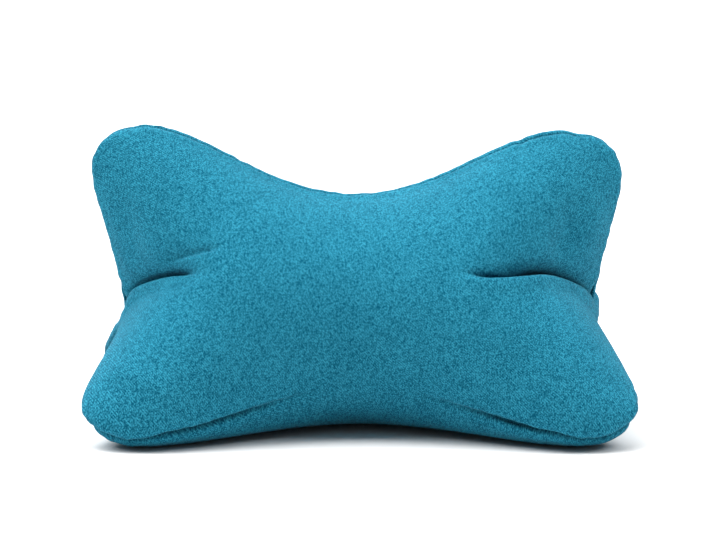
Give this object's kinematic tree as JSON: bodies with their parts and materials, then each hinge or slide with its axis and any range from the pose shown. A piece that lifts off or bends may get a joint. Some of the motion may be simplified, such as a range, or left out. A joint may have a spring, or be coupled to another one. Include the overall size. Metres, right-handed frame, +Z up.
{
  "type": "reading pillow",
  "caption": "Bone-shaped reading pillow of sewn cloth panels, filled plump, with a drawn-in waist for the neck or a book, lying on one panel.",
  "frame": {"origin": "on the surface that the pillow lies on, under the middle of its outline", "axes": "+X along the pillow from end to end, -Y towards its front panel, +Z up"},
  "size_m": [0.4566, 0.2846, 0.2546],
  "materials": {
    "cover_cloth": "matt turquoise melange twill, finely speckled with paler threads"
  },
  "bodies": {
    "root": {"pillow": "cover_cloth"}
  },
  "joints": []
}
